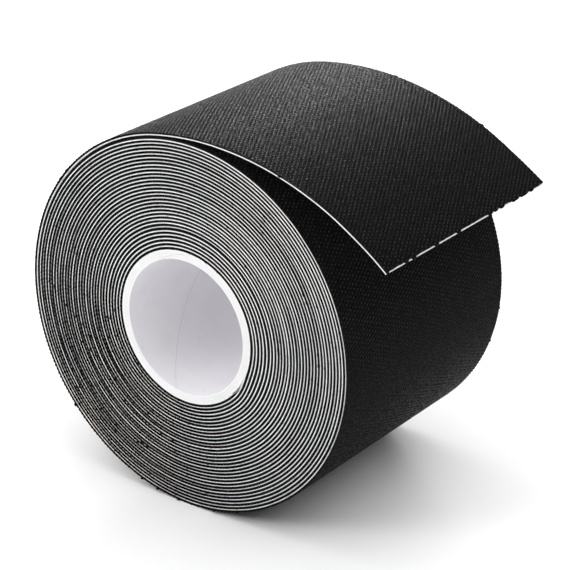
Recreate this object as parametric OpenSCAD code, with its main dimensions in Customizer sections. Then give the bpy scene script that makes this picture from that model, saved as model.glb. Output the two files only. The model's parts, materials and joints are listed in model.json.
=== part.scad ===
// Roll of woven elastic adhesive tape on a paperboard core, with its free end lifted.
// The tape is one strip in three layers: woven fabric outside, adhesive coat, release liner inside.
// The roll's axis lies along Y, +Z is up, and the origin is the middle of the core's bore.

/* [Tape] */
// Width of the tape, and length of the core
tape_w = 50; // [25:1:75]
// Thickness of the woven fabric
fabric_t = 0.43; // [0.35:0.01:0.7]
// Thickness of the adhesive coat on the back of the fabric
adhesive_t = 0.04; // [0.02:0.01:0.1]
// Thickness of the release liner
liner_t = 0.15; // [0.06:0.01:0.3]
// Air film between one layer and the next
film = 0.02; // [0.01:0.01:0.03]
// Full turns on the core, before the last part turn
turns = 31; // [8:1:36]

/* [Core] */
// Diameter of the core's bore
bore_d = 26.2; // [20:0.1:40]
// Thickness of one paperboard ply
ply_t = 0.48; // [0.3:0.01:0.6]
// Glue line between two plies
glue_t = 0.03; // [0.01:0.01:0.05]

/* [Free end] */
// Angle round the roll, up from +X, at which the last turn leaves it
leave_a = 99; // [90:1:110]
// How far the last part turn has sprung loose by then
loose = 0.25; // [0.2:0.05:0.4]
// Radius to which the curved part of the free end has relaxed
relaxed_r = 60; // [50:0.5:90]
// Length of one segment of the free end
seg_l = 10.4; // [10:0.1:12]
// Gap between two segments, at their hinge
seg_gap = 0.24; // [0.2:0.01:0.4]

/* [Rest] */
// Depth of the flat that the roll's weight presses into its lowest fabric
rest_depth = 0.2; // [0.1:0.05:0.3]

/* [Hidden] */
$fa = 2;
$fs = 0.4;
fabric_black = [0.1, 0.1, 0.11];
adhesive_grey = [0.55, 0.55, 0.53];
liner_white = [0.94, 0.94, 0.94];
board_white = [0.88, 0.87, 0.88];

// Plies of the core, counted outwards
plies = 3;
bore_r = bore_d / 2;
core_r = bore_r + plies * ply_t + (plies - 1) * glue_t;

// Heights of the layers above the inside of the strip
adhesive_z = liner_t + film;
fabric_z = adhesive_z + adhesive_t + film;
strip_t = fabric_z + fabric_t;
pitch = strip_t + film;

// The first turn starts on the core. Upper half turns are centred on the axis and lower half turns half
// a pitch to one side, so that each half meets the next one smoothly and the strip spirals outwards.
first_r = core_r + film;
lower_x = -pitch / 2;
lower_r = first_r + pitch / 2;
last_r = first_r + turns * pitch + loose;

// Free end: curved segments, then a flat one. The curve is tangent to the last part turn.
curved_segs = 4;
tail_segs = curved_segs + 1;
curve_r = relaxed_r - strip_t;
curve_x = loose + (last_r - curve_r) * cos(leave_a);
curve_z = (last_r - curve_r) * sin(leave_a);
seg_a = seg_l / relaxed_r * 180 / PI;
gap_a = seg_gap / relaxed_r * 180 / PI;
flat_a = leave_a - curved_segs * seg_a;

// The flat under the roll
rest_z = -(lower_r + (turns - 1) * pitch + strip_t - rest_depth);

// A layer bent round an axis along Y, from angle a0 to angle a1, with r as its inner radius
module bent_layer(r, t, a0, a1) {
    rotate([90, 0, 0])
    rotate_extrude(angle = a1 - a0, start = a0)
    translate([r, -tape_w / 2])
    square([t, tape_w]);
}

// One ply of the core, counted from 0 at the bore
module core_ply(n) {
    color(board_white)
    rotate([90, 0, 0])
    rotate_extrude()
    translate([bore_r + n * (ply_t + glue_t), -tape_w / 2])
    square([ply_t, tape_w]);
}

// Turn n of a layer, upper half and lower half; z is the layer's height in the strip
module upper_half(n, z, t) {
    bent_layer(first_r + n * pitch + z, t, 0, 180);
}

module lower_half(n, z, t) {
    translate([lower_x, 0, 0])
    bent_layer(lower_r + n * pitch + z, t, 180, 360);
}

// The last part turn of a layer, up from the roll's left side to where the free end leaves
module last_part_turn(z, t) {
    translate([loose, 0, 0])
    bent_layer(last_r + z, t, leave_a, 180);
}

// All the turns of a layer but the lower half of the last one
module inner_turns(z, t) {
    for (n = [0:turns - 1]) upper_half(n, z, t);
    for (n = [0:turns - 2]) lower_half(n, z, t);
}

module wound_fabric() {
    color(fabric_black) {
        inner_turns(fabric_z, fabric_t);
        last_part_turn(fabric_z, fabric_t);
        difference() {
            lower_half(turns - 1, fabric_z, fabric_t);
            translate([-last_r, -tape_w, rest_z - last_r])
            cube([2 * last_r, 2 * tape_w, last_r]);
        }
    }
}

module wound_adhesive() {
    color(adhesive_grey) {
        inner_turns(adhesive_z, adhesive_t);
        lower_half(turns - 1, adhesive_z, adhesive_t);
        last_part_turn(adhesive_z, adhesive_t);
    }
}

module wound_liner() {
    color(liner_white) {
        inner_turns(0, liner_t);
        lower_half(turns - 1, 0, liner_t);
        last_part_turn(0, liner_t);
    }
}

// A layer of segment k of the free end, k counted from 1 where it leaves the roll
module tail_layer(k, z, t) {
    translate([curve_x, 0, curve_z])
    if (k <= curved_segs) {
        a1 = leave_a - (k - 1) * seg_a - gap_a / 2;
        bent_layer(curve_r + z, t, a1 - seg_a + gap_a, a1);
    } else {
        rotate([0, 90 - flat_a, 0])
        translate([seg_gap / 2, -tape_w / 2, curve_r + z])
        cube([seg_l - seg_gap, tape_w, t]);
    }
}

module tail_fabric(k) {
    color(fabric_black) tail_layer(k, fabric_z, fabric_t);
}

module tail_adhesive(k) {
    color(adhesive_grey) tail_layer(k, adhesive_z, adhesive_t);
}

module tail_liner(k) {
    color(liner_white) tail_layer(k, 0, liner_t);
}

core_ply(0);  // core_inner_ply
core_ply(1);  // core_middle_ply
core_ply(2);  // core_outer_ply
wound_fabric();
wound_adhesive();
wound_liner();
for (k = [1:tail_segs]) {
    tail_fabric(k);
    tail_adhesive(k);
    tail_liner(k);
}
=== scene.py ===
import json
import math

import bpy
import numpy as np
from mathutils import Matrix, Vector


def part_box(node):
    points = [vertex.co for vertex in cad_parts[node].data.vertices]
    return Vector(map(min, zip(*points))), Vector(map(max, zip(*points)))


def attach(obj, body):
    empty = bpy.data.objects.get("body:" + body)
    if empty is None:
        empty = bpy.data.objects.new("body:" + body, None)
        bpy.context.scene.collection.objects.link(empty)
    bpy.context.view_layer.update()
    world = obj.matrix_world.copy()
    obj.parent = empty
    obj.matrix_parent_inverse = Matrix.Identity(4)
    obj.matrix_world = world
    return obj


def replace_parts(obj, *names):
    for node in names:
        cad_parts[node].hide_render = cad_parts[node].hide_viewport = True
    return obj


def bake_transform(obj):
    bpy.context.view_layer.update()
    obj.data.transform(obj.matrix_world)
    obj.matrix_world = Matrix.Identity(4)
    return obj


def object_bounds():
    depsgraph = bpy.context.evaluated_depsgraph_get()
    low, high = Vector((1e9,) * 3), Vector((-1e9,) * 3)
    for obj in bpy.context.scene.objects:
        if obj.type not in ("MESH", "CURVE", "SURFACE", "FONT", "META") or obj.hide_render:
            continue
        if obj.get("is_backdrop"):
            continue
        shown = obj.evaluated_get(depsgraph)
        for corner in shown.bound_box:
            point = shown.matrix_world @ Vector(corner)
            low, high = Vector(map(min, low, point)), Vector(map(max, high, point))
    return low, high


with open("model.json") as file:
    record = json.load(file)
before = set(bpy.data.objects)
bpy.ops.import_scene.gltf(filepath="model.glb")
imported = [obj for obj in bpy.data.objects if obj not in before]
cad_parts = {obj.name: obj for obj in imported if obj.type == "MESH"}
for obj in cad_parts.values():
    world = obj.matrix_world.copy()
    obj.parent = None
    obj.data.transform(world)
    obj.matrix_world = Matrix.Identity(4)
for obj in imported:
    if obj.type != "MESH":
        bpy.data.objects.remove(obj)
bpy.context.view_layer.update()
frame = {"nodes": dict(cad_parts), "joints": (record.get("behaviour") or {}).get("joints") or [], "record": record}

# A roll of woven elastic tape on a paperboard core. The tape is one strip of three layers, and every piece of
# it is cut from one path: the strip's middle line, by length from its inner end on the core to its free tip.

MM = 0.001

# ---------------------------------------------------------------- sizes, in metres, from the frame
joint_at = {j["name"]: Vector(j["pos_m"]) for j in frame["joints"]}
mount = {m["name"]: m for m in frame["record"]["mounts"]}
HALF_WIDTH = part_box("wound_fabric")[1].y
CORE_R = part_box("core_outer_ply")[1].x
BORE_R = mount["core_bore"]["dims"]["r_mm"] * MM

# The strip's layers, as the record's nodes have them
LINER_T = 0.15 * MM
FILM = 0.02 * MM
ADHESIVE_T = 0.04 * MM
FABRIC_T = 0.43 * MM
ADHESIVE_Z = LINER_T + FILM
FABRIC_Z = ADHESIVE_Z + ADHESIVE_T + FILM
STRIP_T = FABRIC_Z + FABRIC_T

# ---------------------------------------------------------------- weave
PICK = 0.4065 * MM        # one weft thread to the next, along the tape
END = 0.80 * MM           # one elastic warp thread to the next, across the tape
# The two diagonals of the plain weave, in cycles per mm along and across the tape, pulled a little askew
TWILL = (1.25, 0.70)
COUNTER = (-1.21, 0.55)
WEAVE_RISE = 0.065 * MM
# How much of the height comes from the twill lines, the counter lines, and the dots where they cross
MESH_SHARES = (0.7, 0.25, 0.1)
SHADER_SHARES = (0.25, 0.02, 0.28)

# ---------------------------------------------------------------- core
SEAM_TURN = 3.95          # degrees round the bore for each mm along it, on the inner ply's slanting seam
SEAM_AT = -199.0          # degrees, where the seam crosses the middle of the bore
SEAM_REACH = 1.0          # degrees to each side of it
SEAM_SOFT = 0.2
PLY_FROM_A = 112.0        # degrees, where the inner ply's edge starts from the bore on the cut end
PLY_FROM_R = 13.29        # mm
PLY_SLANT = 0.0435        # mm outwards for each degree
PLY_LINE = 0.035          # mm, half the width of its line
PLY_MIDDLE_A = 101.0      # degrees, the middle of the stretch in which that line shows
PLY_REACH_A = 11.5        # degrees to each side of it
BORE_DEPTH = 0.1          # mm from the bore's radius that count as its wall

# ================================================================ the strip's path
START_A = math.radians(-44)       # where the strip starts on the core
WHOLE_TURNS = 31
LOOSE = 0.2 * MM                 # how far the last part turn has sprung off the roll
LOOSE_FROM = 0.6                  # of a turn before the free end
STEP_LENGTH = 0.07                # of a turn, in which the first turns step up over the strip's inner end
STEPPED_TURNS = 7                 # after which the step has smoothed out into a plain spiral
PATH_STEP = 0.2 * MM


def smooth(t):
    t = np.clip(t, 0, 1)
    return t * t * (3 - 2 * t)


def circle_through(a, b, c):
    """Centre (x, z) and radius of the circle through three points of the XZ plane."""
    m = 2 * np.array([[b.x - a.x, b.z - a.z], [c.x - a.x, c.z - a.z]])
    rhs = [b.x**2 + b.z**2 - a.x**2 - a.z**2, c.x**2 + c.z**2 - a.x**2 - a.z**2]
    x, z = np.linalg.solve(m, rhs)
    return x, z, math.hypot(a.x - x, a.z - z)


LEAVE = joint_at["tail_lift"]
FLAT_FROM = joint_at["tail_bend_5"]
CURVE_X, CURVE_Z, CURVE_R = circle_through(LEAVE, joint_at["tail_bend_3"], FLAT_FROM)
LEAVE_A = math.atan2(LEAVE.z - CURVE_Z, LEAVE.x - CURVE_X)
FLAT_A = math.atan2(FLAT_FROM.z - CURVE_Z, FLAT_FROM.x - CURVE_X)
CURVED_SEGS = 4
SEG = CURVE_R * (LEAVE_A - FLAT_A) / CURVED_SEGS
PAST_TIP = 1 * MM                 # of path past the liner's end, for the fabric's loose threads
CUT_SPARE = 0.5 * MM              # how far the real cut passes the last segment's end
FLAT = (CURVE_R + STRIP_T / 2) * (LEAVE_A - FLAT_A) / CURVED_SEGS + CUT_SPARE


def spiral():
    """Middle line of the wound strip, clockwise and outwards."""
    first_r = CORE_R + FILM + STRIP_T / 2
    leave_r = math.hypot(LEAVE.x, LEAVE.z)
    leave_a = math.atan2(LEAVE.z, LEAVE.x)
    turns = WHOLE_TURNS + ((START_A - leave_a) / math.tau) % 1
    pitch = (leave_r - LOOSE - first_r) / turns
    n = np.linspace(0, turns, int(math.pi * (first_r + leave_r) * turns / PATH_STEP))
    whole = np.floor(n)
    part = n - whole
    stepped = smooth((part - 1 + STEP_LENGTH) / STEP_LENGTH)
    evened = np.clip(whole / STEPPED_TURNS, 0, 1)
    climb = stepped + (part - stepped) * evened
    r = first_r + pitch * (whole + climb) + LOOSE * smooth((n - turns + LOOSE_FROM) / LOOSE_FROM)
    a = START_A - math.tau * n
    return r * np.cos(a), r * np.sin(a)


def free_end():
    """Middle line of the free end: relaxed curve, then flat."""
    a = np.linspace(LEAVE_A, FLAT_A, int(CURVED_SEGS * SEG / PATH_STEP))[1:]
    x, z = CURVE_X + CURVE_R * np.cos(a), CURVE_Z + CURVE_R * np.sin(a)
    s = np.linspace(0, FLAT + PAST_TIP, int((FLAT + PAST_TIP) / PATH_STEP))[1:]
    return (np.concatenate([x, FLAT_FROM.x + s * math.sin(FLAT_A)]),
            np.concatenate([z, FLAT_FROM.z - s * math.cos(FLAT_A)]))


wound_x, wound_z = spiral()
free_x, free_z = free_end()
path_x = np.concatenate([wound_x, free_x])
path_z = np.concatenate([wound_z, free_z])
path_s = np.concatenate([[0], np.cumsum(np.hypot(np.diff(path_x), np.diff(path_z)))])
along_x, along_z = np.gradient(path_x, path_s), np.gradient(path_z, path_s)
size = np.hypot(along_x, along_z)
out_x, out_z = -along_z / size, along_x / size
LEAVE_S = path_s[len(wound_x) - 1]
TIP_S = path_s[-1] - PAST_TIP
HALF = SEG / 2
WOUND_END = LEAVE_S - HALF
OUTER_TURN = WOUND_END - math.tau * math.hypot(LEAVE.x, LEAVE.z)  # where the outer turn starts


def place(s, height):
    """Points of the strip at lengths s and heights above its inside face, as x and z."""
    up = height - STRIP_T / 2
    x = np.interp(s, path_s, path_x) + up * np.interp(s, path_s, out_x)
    z = np.interp(s, path_s, path_z) + up * np.interp(s, path_s, out_z)
    return x, z


DROOP = 0.65 * MM                 # how far the middle of the cut end hangs below the flat
DROOP_SKEW = 0.4                  # share of it by which the front hangs lower, and the back higher
DROOP_LENGTH = 14 * MM            # length of tape over which it comes


def droop(s, y):
    """How far the strip hangs below its path."""
    along = np.maximum((s - TIP_S) / DROOP_LENGTH + 1, 0)
    return DROOP * (1 - DROOP_SKEW * y / HALF_WIDTH) * along ** 3


# ================================================================ unevenness, the same on every run
def wander(s, step, seed):
    """Smooth random line from -1 to 1 that turns about every step metres."""
    knots = np.random.default_rng(seed).uniform(-1, 1, int(TIP_S / step) + 3)
    t = np.asarray(s) / step
    i = np.floor(t).astype(int)
    f = smooth(t - i)
    return knots[i] * (1 - f) + knots[i + 1] * f


# Random lines along an edge of the strip, and more for the liner's, as pairs of size and step
EDGE_LINES = ((0.05 * MM, 40 * MM), (0.02 * MM, 3 * MM))
LINER_LINES = ((0.05 * MM, 28 * MM), (0.025 * MM, 5 * MM))
# Seeds: each side's lines and threads count up from its own, and the fabric's face and cut end have one each
FRONT, BACK = 10, 20
THREAD_SEED, LINER_SEED, STRAY_SEED = 2, 4, 6
FULLNESS_SEED = 30
CUT_SEED = 40


def wanders(s, seed, lines):
    return sum(size * wander(s, step, seed + i) for i, (size, step) in enumerate(lines))


def slit_edge(s, side):
    """How far an edge of the strip stands out past the roll's flat end."""
    return wanders(s, side, EDGE_LINES)


THREAD_PROUD = 0.165 * MM # how far the longest thread ends stand out
SHORTEST_THREAD = 0.3     # of that
TUFTED = 0.55             # share of a thread's length that comes and goes from tuft to tuft
TUFT_MEAN = 0.4           # a tuft's outline is a cosine with this mean and swing, cut off at 0 and 1
TUFT_SWING = 0.8
FRAYED = 0.5              # how much further they stand out on the outer turn and the free end
FRAYS_OVER = 20 * MM


def thread_ends(s, side):
    """The cut ends of the weft threads, which stand out of the fabric's face side one by one."""
    # Every other thread ends under the last warp thread, so the tufts that show are two threads apart
    rng = np.random.default_rng(side + THREAD_SEED)
    length = rng.uniform(SHORTEST_THREAD, 1, int(TIP_S / PICK) + 3)
    turn = s / (2 * PICK)
    outline = np.clip(TUFT_MEAN + TUFT_SWING * np.cos(math.tau * turn), 0, 1)
    tuft = length[np.round(turn).astype(int)] * outline
    frayed = 1 + FRAYED * smooth((s - OUTER_TURN) / FRAYS_OVER)
    return THREAD_PROUD * frayed * (1 - TUFTED + TUFTED * tuft)


STRAY_CELL = 0.5 * MM
STRAY_SHARE = 0.015       # of the cells that have a stray thread
STRAY_OUT = 0.33 * MM     # how far it hangs out on the outer turn and the free end
STRAY_OUT_WOUND = 0.1 * MM


def stray_threads(s, side):
    """A thread here and there that hangs out over the liner's edge."""
    rng = np.random.default_rng(side + STRAY_SEED)
    loose = rng.uniform(0, 1, int(TIP_S / STRAY_CELL) + 3) > 1 - STRAY_SHARE
    out = np.where(s > OUTER_TURN, STRAY_OUT, STRAY_OUT_WOUND)
    return out * loose[np.round(s / STRAY_CELL).astype(int)]


# The random values across the tape start past its front edge and end past its back edge
ACROSS_FROM = -1.2 * HALF_WIDTH
ACROSS = 3 * HALF_WIDTH

RAGGED_DEPTH = 1.2 * MM   # of the fabric at the cut end, whose threads lie unevenly
SHRUNK = 0.17 * MM        # how far the elastic fabric has drawn back from the liner's cut end
UNEVEN_CUT = (-0.05 * MM, 0.1 * MM)
LOOSE_OUT = 0.33 * MM     # how much further than that a loose thread of the cut end reaches
LOOSE_SHARE = 0.18        # of each millimetre of the cut end that has one


def ragged_end(y):
    """How far the cut end's threads stand out from place to place across the tape."""
    rng = np.random.default_rng(CUT_SEED)
    warp = rng.uniform(*UNEVEN_CUT, int(ACROSS / END))
    loose = rng.uniform(0, 1, int(ACROSS / MM)) > 1 - LOOSE_SHARE
    at = y - ACROSS_FROM
    return (warp[np.round(at / END).astype(int)] - SHRUNK
            + LOOSE_OUT * loose[np.round(at / MM).astype(int)])


LEAST_FULL = 0.1


def fullness(s, y):
    """How full the threads are from place to place, up to 1."""
    size = int(TIP_S / PICK) + 3, int(ACROSS / PICK)
    grid = np.random.default_rng(FULLNESS_SEED).uniform(LEAST_FULL, 1, size)
    u, v = s / PICK, (y - ACROSS_FROM) / PICK
    i, j = np.floor(u).astype(int), np.floor(v).astype(int)
    f, g = smooth(u - i), smooth(v - j)
    near = grid[i, j] * (1 - g) + grid[i, j + 1] * g
    far = grid[i + 1, j] * (1 - g) + grid[i + 1, j + 1] * g
    return near * (1 - f) + far * f


def weave(s, y):
    """Height of the woven face, from -1 to 1."""
    twill = np.cos(math.tau * (TWILL[0] * s + TWILL[1] * y) / MM)
    counter = np.cos(math.tau * (COUNTER[0] * s + COUNTER[1] * y) / MM)
    twills, counters, dots = MESH_SHARES
    return fullness(s, y) * (twills * twill + counters * counter + dots * twill * counter)


# ================================================================ meshes
def mesh_object(name, points, faces, uv, kinds, smooths, materials, normals=None):
    """A mesh with its map of the strip. normals gives the normal of some points on smooth faces, by point."""
    mesh = bpy.data.meshes.new(name)
    mesh.from_pydata(points.tolist(), [], faces)
    layer = mesh.uv_layers.new(name="strip")
    vertex = np.zeros(len(mesh.loops), np.int32)
    mesh.loops.foreach_get("vertex_index", vertex)
    layer.data.foreach_set("uv", uv[vertex].astype(np.float32).ravel())
    mesh.polygons.foreach_set("material_index", np.asarray(kinds, np.int32))
    mesh.polygons.foreach_set("use_smooth", np.asarray(smooths, bool))
    for m in materials:
        mesh.materials.append(m)
    mesh.update()
    if normals is not None:
        corner_smooth = np.repeat(smooths, [len(f) for f in faces])
        mesh.normals_split_custom_set(np.where(corner_smooth[:, None], normals[vertex], 0).tolist())
    piece = bpy.data.objects.new(name, mesh)
    bpy.context.scene.collection.objects.link(piece)
    return piece


def face_normals(s, y, high, relief):
    """Normals of the woven face at lengths s and places y across."""
    step = PICK / 12
    back_x, back_z = place(s - step, high + relief(s - step, y))
    on_x, on_z = place(s + step, high + relief(s + step, y))
    left_x, left_z = place(s, high + relief(s, y - step))
    right_x, right_z = place(s, high + relief(s, y + step))
    along = np.stack([on_x - back_x, np.zeros_like(s), on_z - back_z], -1)
    across = np.stack([right_x - left_x, np.full_like(s, 2 * step), right_z - left_z], -1)
    normal = np.cross(along, across)
    return normal / np.linalg.norm(normal, axis=-1, keepdims=True)


def slab(name, s, low, high, edges, columns, materials, relief=None, ragged=None):
    """A closed layer of the strip. edges are front low, front high, back low and back high: how far each edge
    of the slab stands out at each s. relief is the height of its outer face over high, for lengths and places
    across, and ragged is how far the threads of its last row stand out, for places across."""
    front_low, front_high, back_low, back_high = edges

    def grid(front, back, count):
        share = np.linspace(0, 1, count)[None, :]
        at_y = (-HALF_WIDTH - front)[:, None] * (1 - share) + (HALF_WIDTH + back)[:, None] * share
        at_s = np.repeat(s[:, None], count, 1)
        if ragged:
            at_s = at_s + ragged(at_y) * smooth((at_s - s[-1]) / RAGGED_DEPTH + 1)
        return at_s, at_y

    top_s, top_y = grid(front_high, back_high, columns)
    low_s, low_y = grid(front_low, back_low, columns if ragged else 2)
    rise = relief(top_s, top_y) if relief else np.zeros_like(top_s)
    top_x, top_z = place(top_s, high + rise - droop(top_s, top_y))
    low_x, low_z = place(low_s, low - droop(low_s, low_y))
    points = np.concatenate([np.stack([top_x, top_y, top_z], -1).reshape(-1, 3),
                             np.stack([low_x, low_y, low_z], -1).reshape(-1, 3)])
    uv = np.concatenate([np.stack([top_s, top_y], -1).reshape(-1, 2),
                         np.stack([low_s, low_y], -1).reshape(-1, 2)]) / MM
    top = np.arange(top_s.size).reshape(top_s.shape)
    bottom = top_s.size + np.arange(low_s.size).reshape(low_s.shape)

    def quads(a, b, c, d):
        return np.stack([a.ravel(), b.ravel(), c.ravel(), d.ravel()], 1).tolist()

    outer = quads(top[:-1, :-1], top[1:, :-1], top[1:, 1:], top[:-1, 1:])
    inner = quads(bottom[:-1, :-1], bottom[:-1, 1:], bottom[1:, 1:], bottom[1:, :-1])
    front = quads(bottom[:-1, 0], bottom[1:, 0], top[1:, 0], top[:-1, 0])
    back = quads(bottom[:-1, -1], top[:-1, -1], top[1:, -1], bottom[1:, -1])
    if ragged:
        caps = quads(bottom[0, :-1], top[0, :-1], top[0, 1:], bottom[0, 1:])
        caps += quads(bottom[-1, :-1], bottom[-1, 1:], top[-1, 1:], top[-1, :-1])
    else:
        caps = [[int(bottom[0, 0])] + top[0].tolist() + [int(bottom[0, 1])],
                [int(bottom[-1, 0]), int(bottom[-1, 1])] + top[-1, ::-1].tolist()]
    faces = outer + inner + front + back + caps
    broad = len(outer) + len(inner)
    kinds = [0] * broad + [1] * (len(faces) - broad)
    smooths = np.arange(len(faces)) < broad
    normals = None
    if relief:
        # Where two pieces meet, both take the weave's own normals, so the joint between them doesn't show
        normals = np.zeros_like(points)
        for row in (0, -1):
            normals[top[row]] = face_normals(top_s[row], top_y[row], high, relief)
    return mesh_object(name, points, faces, uv, kinds, smooths, materials, normals)


# ================================================================ materials
class Shader:
    """A material's node tree, with its Principled shader."""

    def __init__(self, name, **settings):
        self.material = bpy.data.materials.new(name)
        self.material.use_nodes = True
        self.tree = self.material.node_tree
        self.bsdf = self.tree.nodes["Principled BSDF"]
        for socket, value in settings.items():
            self.bsdf.inputs[socket.replace("_", " ")].default_value = value

    def put(self, value, socket):
        if isinstance(value, bpy.types.NodeSocket):
            self.tree.links.new(value, socket)
        elif value is not None:
            socket.default_value = value

    def node(self, kind, *values, out=0, **settings):
        made = self.tree.nodes.new("ShaderNode" + kind)
        for key, value in settings.items():
            setattr(made, key, value)
        for socket, value in zip(made.inputs, values):
            self.put(value, socket)
        return made.outputs[out]

    def math(self, operation, a, b=None, c=None):
        return self.node("Math", a, b, c, operation=operation)

    def vector(self, operation, a, b=None, out=0):
        return self.node("VectorMath", a, b, operation=operation, out=out)

    def noise(self, where, scale, detail, out=0):
        made = self.tree.nodes.new("ShaderNodeTexNoise")
        self.put(where, made.inputs["Vector"])
        made.inputs["Scale"].default_value = scale
        made.inputs["Detail"].default_value = detail
        return made.outputs[out]

    def mix(self, factor, a, b):
        """Colour a, which turns to colour b with the factor."""
        made = self.tree.nodes.new("ShaderNodeMix")
        made.data_type = "RGBA"
        self.put(factor, made.inputs["Factor"])
        self.put(a, made.inputs[6])
        self.put(b, made.inputs[7])
        return made.outputs[2]

    def ramp(self, factor, *stops):
        """Colour from stops of place and grey, or place and colour."""
        made = self.tree.nodes.new("ShaderNodeValToRGB")
        elements = made.color_ramp.elements
        while len(elements) < len(stops):
            elements.new(0.5)
        for element, (at, colour) in zip(elements, stops):
            element.position = at
            rgb = colour if isinstance(colour, tuple) else (colour,) * 3
            element.color = (*rgb, 1)
        self.put(factor, made.inputs["Fac"])
        return made.outputs["Color"]

    def colour(self, socket):
        self.put(socket, self.bsdf.inputs["Base Color"])

    def bump(self, height, distance, strength=1.0):
        made = self.tree.nodes.new("ShaderNodeBump")
        made.inputs["Strength"].default_value = strength
        made.inputs["Distance"].default_value = distance
        self.put(height, made.inputs["Height"])
        self.put(made.outputs[0], self.bsdf.inputs["Normal"])

    def strip_uv(self):
        """Millimetres along and across the tape."""
        return self.node("UVMap", uv_map="strip")

    def position(self):
        """Place in the object, in millimetres."""
        made = self.tree.nodes.new("ShaderNodeTexCoord")
        return self.scaled(made.outputs["Object"], 1 / MM)

    def stretched(self, where, along, across):
        return self.vector("MULTIPLY", where, (along, across, 1.0))

    def scaled(self, vector, factor):
        made = self.tree.nodes.new("ShaderNodeVectorMath")
        made.operation = "SCALE"
        self.put(vector, made.inputs[0])
        made.inputs["Scale"].default_value = factor
        return made.outputs[0]


THREAD_DRIFT = 0.3        # mm that the threads wander from their places
UNEVEN_GAIN = 5.0         # the noise that makes the threads uneven is multiplied by this, and this is added
UNEVEN_OFFSET = -1.6
MEAN_HEIGHT = 0.5


def weave_height(shader, where):
    """The woven face's height, about 0 to 1, uneven from thread to thread."""
    wandering = shader.noise(where, scale=0.9, detail=2.0, out=1)
    drift = shader.scaled(shader.vector("SUBTRACT", wandering, (0.5, 0.5, 0.5)), THREAD_DRIFT)
    threads = shader.vector("ADD", where, drift)

    def wave(cycles):
        turn = shader.vector("DOT_PRODUCT", threads, (math.tau * cycles[0], math.tau * cycles[1], 0), out=1)
        return shader.math("COSINE", turn)

    twill, counter = wave(TWILL), wave(COUNTER)
    twills, counters, dots = SHADER_SHARES
    ridges = shader.math("MULTIPLY_ADD", twill, twills, shader.math("MULTIPLY", counter, counters))
    woven = shader.math("MULTIPLY_ADD", shader.math("MULTIPLY", twill, counter), dots, ridges)
    patches = shader.noise(where, scale=1.9, detail=1.0)
    uneven = shader.math("MULTIPLY_ADD", patches, UNEVEN_GAIN, UNEVEN_OFFSET)
    return shader.math("MULTIPLY_ADD", woven, uneven, MEAN_HEIGHT)


LINT = 0.9                # how much the lint counts beside the weave's height, in where the fabric glints
FIBRES = 0.5              # and how much the fibres count beside it, in the bump
FACE_BUMP = 2.2 * WEAVE_RISE


def woven_face():
    """Black elastic fabric, smoother where its threads stand up. Its colour carries painted highlights on the
    raised threads and painted shade in the hollows between them.
    """
    s = Shader("woven_fabric", Roughness=0.38, Specular_IOR_Level=0.013)
    where = s.strip_uv()
    height = weave_height(s, where)
    # Colour by the weave's height: painted highlights on the raised threads, painted shade in the hollows
    s.colour(s.ramp(height, (0.35, 0.0032), (0.6, 0.005), (0.85, 0.013), (1.0, 0.034)))
    lint = s.noise(s.stretched(where, along=2.1, across=1.1), scale=1.0, detail=2.0)
    standing = s.math("MULTIPLY_ADD", lint, LINT, height)
    s.put(s.ramp(standing, (0.75, 0.62), (1.25, 0.26)), s.bsdf.inputs["Roughness"])
    fibres = s.noise(s.stretched(where, along=5.0, across=3.5), scale=1.0, detail=3.0)
    s.bump(s.math("MULTIPLY_ADD", fibres, FIBRES, height), FACE_BUMP)
    return s.material


def cut_threads():
    """The fabric's edge: dull ends of threads."""
    s = Shader("fabric_edge", Roughness=0.95, Specular_IOR_Level=0.1)
    where = s.strip_uv()
    fuzz = s.noise(s.stretched(where, along=2.4, across=8.0), scale=1.0, detail=4.0)
    s.colour(s.ramp(fuzz, (0.35, 0.002), (0.6, 0.005), (0.8, 0.02)))
    s.bump(fuzz, 0.05 * MM, strength=0.7)
    return s.material


def liner_paper():
    """White siliconised paper."""
    s = Shader("release_liner", Roughness=0.4, Specular_IOR_Level=0.4)
    where = s.strip_uv()
    grain = s.noise(where, scale=3.0, detail=5.0)
    s.colour(s.ramp(grain, (0.3, 0.82), (0.7, 0.9)))
    s.bump(grain, 0.01 * MM, strength=0.5)
    return s.material


def liner_edge():
    """The liner's cut edge, with a darker fleck here and there."""
    s = Shader("liner_edge", Roughness=0.8, Specular_IOR_Level=0.2)
    where = s.strip_uv()
    fleck = s.noise(where, scale=1.3, detail=4.0)
    s.colour(s.ramp(fleck, (0.3, 0.6), (0.42, 0.9), (0.7, 0.96)))
    return s.material


def tack():
    """The adhesive coat, glossy and dark with the fabric behind it."""
    s = Shader("adhesive", Roughness=0.18, Specular_IOR_Level=0.5, Coat_Weight=0.3)
    where = s.strip_uv()
    cloud = s.noise(where, scale=0.8, detail=3.0)
    s.colour(s.ramp(cloud, (0.3, 0.03), (0.7, 0.07)))
    s.bump(cloud, 0.02 * MM, strength=0.6)
    return s.material


def tack_edge():
    """The coat's edge, paler than its face."""
    s = Shader("adhesive_edge", Roughness=0.5, Specular_IOR_Level=0.3)
    where = s.strip_uv()
    cloud = s.noise(where, scale=1.5, detail=3.0)
    s.colour(s.ramp(cloud, (0.3, 0.3), (0.7, 0.75)))
    return s.material


SEAM_MARK = 0.18          # how strongly the seam and the flecks show, and the ply's line
PLY_MARK = 0.4
MARK_COLOUR = (0.25, 0.25, 0.26, 1)


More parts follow.
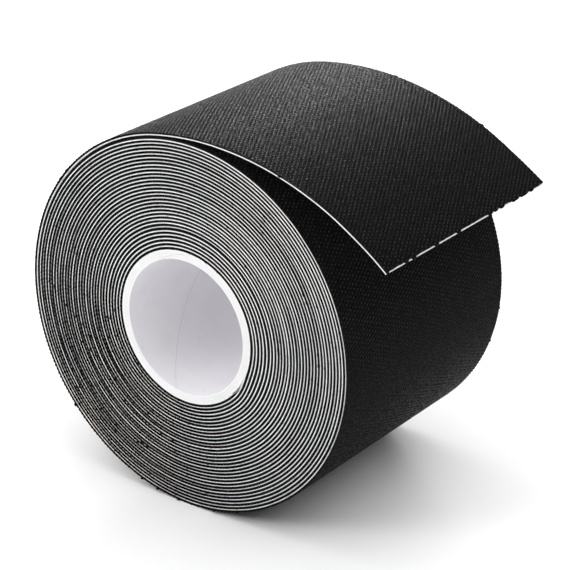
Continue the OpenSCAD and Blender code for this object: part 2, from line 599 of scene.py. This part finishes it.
def board():
    """Paperboard: white at its cut ends, greyer on the bore, with the slanting edges of its inner ply."""
    s = Shader("core_board", Roughness=0.75, Specular_IOR_Level=0.3)
    where = s.position()
    split = s.tree.nodes.new("ShaderNodeSeparateXYZ")
    s.put(where, split.inputs[0])
    x, y, z = split.outputs
    degrees = s.math("MULTIPLY", s.math("ARCTAN2", z, x), 180 / math.pi)
    radius = s.math("SQRT", s.math("ADD", s.math("MULTIPLY", x, x), s.math("MULTIPLY", z, z)))

    def band(value, centre, half_width):
        return s.math("COMPARE", value, centre, half_width)

    on_bore = band(radius, BORE_R / MM, BORE_DEPTH)
    along_seam = s.math("MULTIPLY_ADD", y, SEAM_TURN, degrees)
    from_seam = s.math("PINGPONG", s.math("SUBTRACT", along_seam, SEAM_AT), 180.0)
    off_seam = s.math("SMOOTH_MIN", s.math("MULTIPLY", on_bore, from_seam), SEAM_REACH, SEAM_SOFT)
    on_seam = s.math("SUBTRACT", on_bore, s.math("MULTIPLY", on_bore, off_seam))
    ply_edge = s.math("MULTIPLY_ADD", degrees, -PLY_SLANT, s.math("SUBTRACT", PLY_FROM_R, radius))
    on_ply = s.math("MULTIPLY", band(ply_edge, -PLY_SLANT * PLY_FROM_A, PLY_LINE),
                    band(degrees, PLY_MIDDLE_A, PLY_REACH_A))
    on_end = s.math("MULTIPLY", on_ply, s.math("SUBTRACT", 1.0, on_bore))
    line = s.math("MAXIMUM", on_seam, on_end)
    fibre = s.noise(where, scale=4.0, detail=5.0)
    mottle = s.noise(where, scale=0.3, detail=2.0)
    fleck = s.ramp(s.noise(where, scale=0.9, detail=1.0), (0.75, 0.0), (0.79, 1.0))
    tone = s.math("MULTIPLY_ADD", mottle, 0.6, s.math("MULTIPLY", fibre, 0.4))
    cut = s.ramp(tone, (0.25, 0.79), (0.75, 0.87))
    wall = s.ramp(tone, (0.3, 0.80), (0.5, (0.83, 0.815, 0.85)), (0.7, (0.85, 0.825, 0.85)))
    plain = s.mix(on_bore, cut, wall)
    faint = s.math("MULTIPLY", s.math("MAXIMUM", on_seam, fleck), SEAM_MARK)
    s.colour(s.mix(s.math("MULTIPLY_ADD", on_end, PLY_MARK, faint), plain, MARK_COLOUR))
    s.bump(s.math("SUBTRACT", fibre, line), 0.03 * MM, strength=0.6)
    return s.material


FABRIC = [woven_face(), cut_threads()]
LINER = [liner_paper(), liner_edge()]
ADHESIVE = [tack(), tack_edge()]
BOARD = board()


# ================================================================ the strip's pieces
COLUMN = END / 3          # of the weave's mesh, across the tape
WOVEN_ROW = PICK / 3      # and along it
PLAIN_ROW = PICK / 2      # along the inner turns, whose face doesn't show
ROW_ROOM = 0.3            # of a row, the least between a piece's end and its next row
ADHESIVE_INSET = 0.03 * MM


def lengths(start, end, step):
    return np.linspace(start, end, max(2, round((end - start) / step) + 1))


def fabric(name, start, end, woven):
    """A length of fabric; woven gives its face the weave's relief."""
    row = WOVEN_ROW if woven else PLAIN_ROW
    inner = np.arange(math.ceil(start / row + ROW_ROOM), end / row - ROW_ROOM) * row
    s = np.concatenate([[start], inner, [end]])
    front, back = (slit_edge(s, side) + stray_threads(s, side) for side in (FRONT, BACK))
    proud = [front, front + thread_ends(s, FRONT), back, back + thread_ends(s, BACK)]
    columns = round(2 * HALF_WIDTH / COLUMN) + 1 if woven else 2
    relief = (lambda at, across: WEAVE_RISE * (weave(at, across) - 1)) if woven else None
    ragged = ragged_end if end == TIP_S else None
    return slab(name, s, FABRIC_Z, STRIP_T, proud, columns, FABRIC, relief, ragged)


def adhesive(name, start, end, step):
    """A length of the adhesive coat, set in from the fabric's edges."""
    s = lengths(start, end, step)
    front, back = (slit_edge(s, side) - ADHESIVE_INSET for side in (FRONT, BACK))
    ragged = (lambda y: 0 * y - SHRUNK) if end == TIP_S else None
    return slab(name, s, LINER_T, FABRIC_Z, [front, front, back, back], 2, ADHESIVE, ragged=ragged)


def liner(name, start, end, step):
    """A length of release liner."""
    s = lengths(start, end, step)
    front, back = (slit_edge(s, side) + wanders(s, side + LINER_SEED, LINER_LINES) for side in (FRONT, BACK))
    return slab(name, s, 0, LINER_T, [front, front, back, back], 2, LINER)


WOUND_STEP = 0.8 * MM
FREE_STEP = 0.4 * MM


def wound_pieces():
    """The inner turns' fabric is two plain pieces and the outer turn's four woven ones, all of one strip."""
    plain = [0, OUTER_TURN / 2]
    cuts = [*plain, *np.linspace(OUTER_TURN, WOUND_END, 5)]
    made = []
    for i, (start, end) in enumerate(zip(cuts, cuts[1:])):
        piece = fabric(f"wound_fabric_{i + 1}", start, end, woven=i >= len(plain))
        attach(piece, "roll")
        made.append(piece)
    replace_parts(made[0], "wound_fabric")
    paper = liner("wound_liner_strip", 0, WOUND_END, WOUND_STEP)
    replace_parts(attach(paper, "roll"), "wound_liner")
    coat = adhesive("wound_adhesive_coat", 0, WOUND_END, WOUND_STEP)
    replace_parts(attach(coat, "roll"), "wound_adhesive")


def free_pieces():
    """Each piece reaches from the middle of one segment to the middle of the next, and bends across the hinge
    between them. The last two lengths of fabric and adhesive part at the hinge where the tape peels."""
    peel_s = LEAVE_S + CURVED_SEGS * SEG
    layers = {"fabric": (lambda n, a, b: fabric(n, a, b, woven=True), "woven_fabric"),
              "adhesive": (lambda n, a, b: adhesive(n, a, b, FREE_STEP), "adhesive"),
              "liner": (lambda n, a, b: liner(n, a, b, FREE_STEP), "release_liner")}
    for layer, (make, slot) in layers.items():
        for k in range(CURVED_SEGS + 1):
            hinge = LEAVE_S + k * SEG
            start, end = hinge - HALF, hinge + HALF
            if k == CURVED_SEGS:
                end = TIP_S if layer == "liner" else peel_s
            piece = make(f"free_{layer}_{k + 1}", start, end)
            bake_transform(piece)
            if k < CURVED_SEGS or layer == "liner":
                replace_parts(piece, f"tail_{layer}_{k + 1}")
        if layer != "liner":
            flap = make(f"free_{layer}_tip", peel_s, TIP_S)
            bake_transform(flap)
            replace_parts(flap, f"tail_{layer}_5")


# ================================================================ core
def core():
    for name in ("core_inner_ply", "core_middle_ply", "core_outer_ply"):
        node = frame["nodes"][name]
        node.data.materials.clear()
        node.data.materials.append(BOARD)


# ================================================================ floor, light, camera
FLOOR_REACH = 15.0        # metres to each side


def stage():
    mesh = bpy.data.meshes.new("floor")
    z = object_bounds()[0].z
    corners = [(x * FLOOR_REACH, y * FLOOR_REACH, z) for x, y in ((-1, -1), (1, -1), (1, 1), (-1, 1))]
    mesh.from_pydata(corners, [], [(0, 1, 2, 3)])
    floor = bpy.data.objects.new("floor", mesh)
    bpy.context.scene.collection.objects.link(floor)
    pale = Shader("floor", Roughness=0.9, Base_Color=(0.96, 0.96, 0.96, 1))
    mesh.materials.append(pale.material)
    floor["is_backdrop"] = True


# Studio lights: white surroundings, a wide overhead glow, and softboxes by name, place, size and power
WORLD = 0.25
OVERHEAD = 2.8
OVERHEAD_SPREAD = math.radians(110)
LIGHTS = (
    ("front", (-0.5, -0.82, 0.5), 0.4, 3.1),
    ("back_left", (-0.62, 1.02, 0.3), 0.4, 5.6),
    ("back", (-0.15, 1.08, 0.52), 0.4, 1.9),
)


def softbox(name, at, size, watts):
    data = bpy.data.lights.new(name, "AREA")
    data.shape = "DISK"
    data.size = size
    data.energy = watts
    lamp = bpy.data.objects.new(name, data)
    lamp.location = at
    lamp.rotation_euler = (-Vector(at)).to_track_quat("-Z", "Y").to_euler()
    bpy.context.scene.collection.objects.link(lamp)


def lights():
    world = bpy.data.worlds.new("studio")
    bpy.context.scene.world = world
    world.use_nodes = True
    world.node_tree.nodes["Background"].inputs["Color"].default_value = (1, 1, 1, 1)
    world.node_tree.nodes["Background"].inputs["Strength"].default_value = WORLD
    glow = bpy.data.lights.new("overhead", "SUN")
    glow.energy = OVERHEAD
    glow.angle = OVERHEAD_SPREAD
    bpy.context.scene.collection.objects.link(bpy.data.objects.new("overhead", glow))
    for name, at, size, watts in LIGHTS:
        softbox(name, at, size, watts)


def camera():
    azimuth, elevation = math.radians(36.62), math.radians(23.72)
    distance, lens = 0.406, 136.48
    aim = Vector((0.003, 0.0011, 0))
    back = Vector((math.sin(azimuth) * math.cos(elevation), -math.cos(azimuth) * math.cos(elevation),
                   math.sin(elevation)))
    data = bpy.data.cameras.new("camera")
    data.lens = lens
    data.clip_start, data.clip_end = 0.01, 50
    eye = bpy.data.objects.new("camera", data)
    eye.location = aim + back * distance
    eye.rotation_euler = (-back).to_track_quat("-Z", "Y").to_euler()
    bpy.context.scene.collection.objects.link(eye)
    bpy.context.scene.camera = eye


camera()
wound_pieces()
free_pieces()
core()
stage()
lights()
bpy.context.scene.view_settings.view_transform = "Standard"
